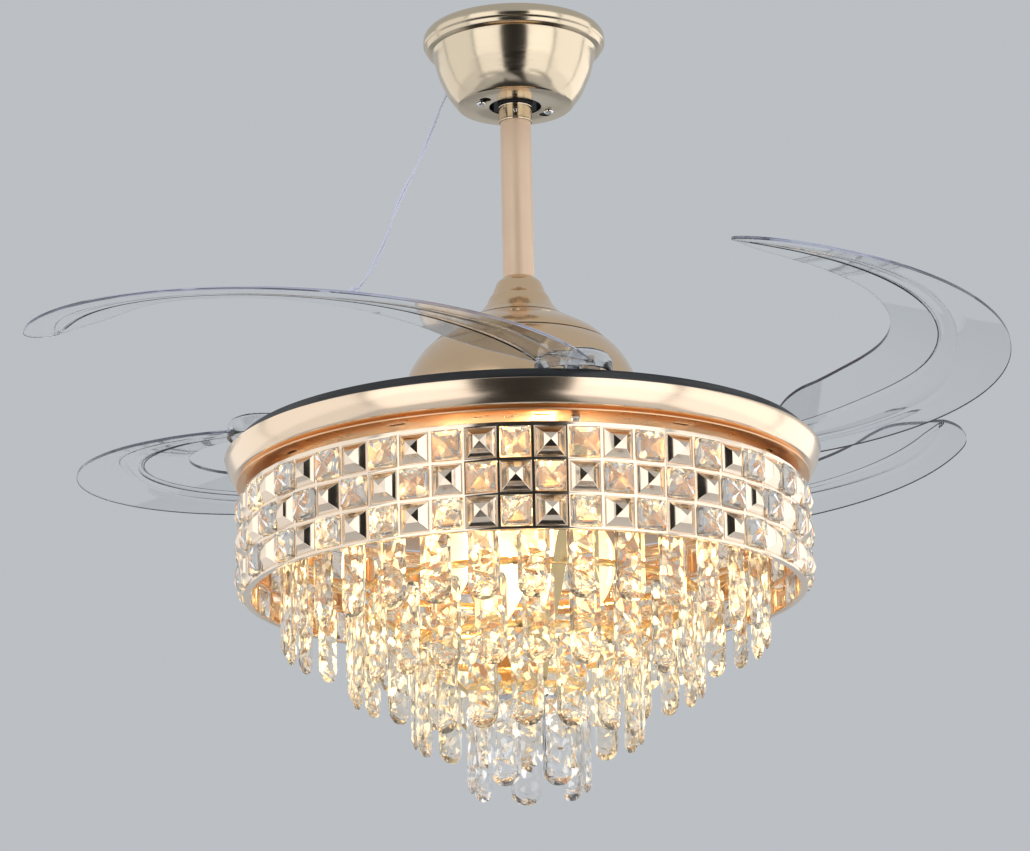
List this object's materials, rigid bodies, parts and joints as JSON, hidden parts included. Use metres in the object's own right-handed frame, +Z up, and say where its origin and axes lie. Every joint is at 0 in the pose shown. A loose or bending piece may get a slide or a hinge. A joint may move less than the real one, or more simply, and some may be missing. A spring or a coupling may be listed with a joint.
{
  "type": "chandelier ceiling fan",
  "caption": "Ceiling fan on a downrod with folding clear blades over a round crystal chandelier lamp with stepped tiers of hanging glass pendants.",
  "frame": {"origin": "centre of the ceiling bracket's top face, where it lies against the ceiling", "axes": "+Z up along the downrod and the fan's axis, -Y towards the front from which the picture was taken, +X to the right of that view"},
  "size_m": [0.79, 0.79, 0.666],
  "materials": {
    "canopy_gold": "polished pale champagne gold",
    "satin_gold": "satin champagne",
    "rose_gold": "brushed rose gold",
    "drum_metal": "polished champagne",
    "copper": "satin copper",
    "frame_gold": "polished gold",
    "steel": "zinc plated",
    "chrome": "chrome",
    "ball_rubber": "moulded",
    "black_plastic": "satin black",
    "winding": "laminations with copper winding",
    "magnet": "dull grey",
    "clear_blade": "clear acrylic",
    "crystal": "clear cut crystal",
    "lampholder": "white lampholder",
    "bulb_glass": "lit warm white glass",
    "cord_white": "white insulation"
  },
  "bodies": {
    "mounting": {"ceiling_bracket": "steel", "canopy": "canopy_gold", "canopy_screw_1": "chrome", "canopy_screw_2": "chrome", "supply_cord": "cord_white", "wire_cap_1": "cord_white", "wire_cap_2": "cord_white"},
    "ball": {"hanger_ball": "ball_rubber"},
    "hung": {"hanger_pin": "steel", "downrod": "satin_gold", "rod_collar": "canopy_gold", "collar_screw": "steel", "coupling_pin": "steel", "coupling_cover": "satin_gold", "top_cover": "satin_gold", "motor_shaft": "steel", "stator": "winding", "lamp_pan": "rose_gold", "lamp_plate": "copper", "lamp_nut": "steel", "drum_post_1": "chrome", "drum_post_2": "chrome", "drum_post_3": "chrome", "drum_post_4": "chrome", "drum": "drum_metal", "crystal_row_1": "crystal", "crystal_row_2": "crystal", "crystal_row_3": "crystal", "tier_frame": "frame_gold", "tier_crystals_1": "crystal", "tier_crystals_2": "crystal", "tier_crystals_3": "crystal", "tier_crystals_4": "crystal", "lamp_socket_1": "lampholder", "lamp_socket_2": "lampholder", "lamp_socket_3": "lampholder", "lamp_socket_4": "lampholder", "bulb_1": "bulb_glass", "bulb_2": "bulb_glass", "bulb_3": "bulb_glass", "bulb_4": "bulb_glass"},
    "rotor": {"rotor_shell": "satin_gold", "magnet_ring": "magnet", "bearing_upper": "steel", "bearing_lower": "steel", "blade_disc": "black_plastic", "pivot_post_1": "steel", "pivot_post_2": "steel", "pivot_post_3": "steel", "pivot_post_4": "steel"},
    "blade_a": {"blade_1": "clear_blade"},
    "blade_b": {"blade_2": "clear_blade"},
    "blade_c": {"blade_3": "clear_blade"},
    "blade_d": {"blade_4": "clear_blade"}
  },
  "joints": [
    {"name": "ball_swing", "type": "hinge", "parent": "mounting", "child": "ball", "pos_m": [0, 0, -0.038], "axis": [0, 1, 0], "range_deg": [-8, 8]},
    {"name": "pin_swing", "type": "hinge", "parent": "ball", "child": "hung", "pos_m": [0, 0, -0.038], "axis": [1, 0, 0], "range_deg": [-8, 8]},
    {"name": "fan_spin", "type": "hinge", "parent": "hung", "child": "rotor", "pos_m": [0, 0, -0.37], "axis": [0, 0, 1], "continuous": true},
    {"name": "blade_fold_a", "type": "hinge", "parent": "rotor", "child": "blade_a", "pos_m": [0.21399, 0.0416, -0.36], "axis": [0, 0, 1], "range_deg": [-63, 0]},
    {"name": "blade_fold_b", "type": "hinge", "parent": "rotor", "child": "blade_b", "pos_m": [0.0416, -0.21399, -0.36], "axis": [0, 0, 1], "range_deg": [-63, 0]},
    {"name": "blade_fold_c", "type": "hinge", "parent": "rotor", "child": "blade_c", "pos_m": [-0.21399, -0.0416, -0.36], "axis": [0, 0, 1], "range_deg": [-63, 0]},
    {"name": "blade_fold_d", "type": "hinge", "parent": "rotor", "child": "blade_d", "pos_m": [-0.0416, 0.21399, -0.36], "axis": [0, 0, 1], "range_deg": [-63, 0]}
  ],
  "couplings": [
    {"joint": "blade_fold_b", "follows": "blade_fold_a", "ratio": 1},
    {"joint": "blade_fold_c", "follows": "blade_fold_a", "ratio": 1},
    {"joint": "blade_fold_d", "follows": "blade_fold_a", "ratio": 1}
  ]
}
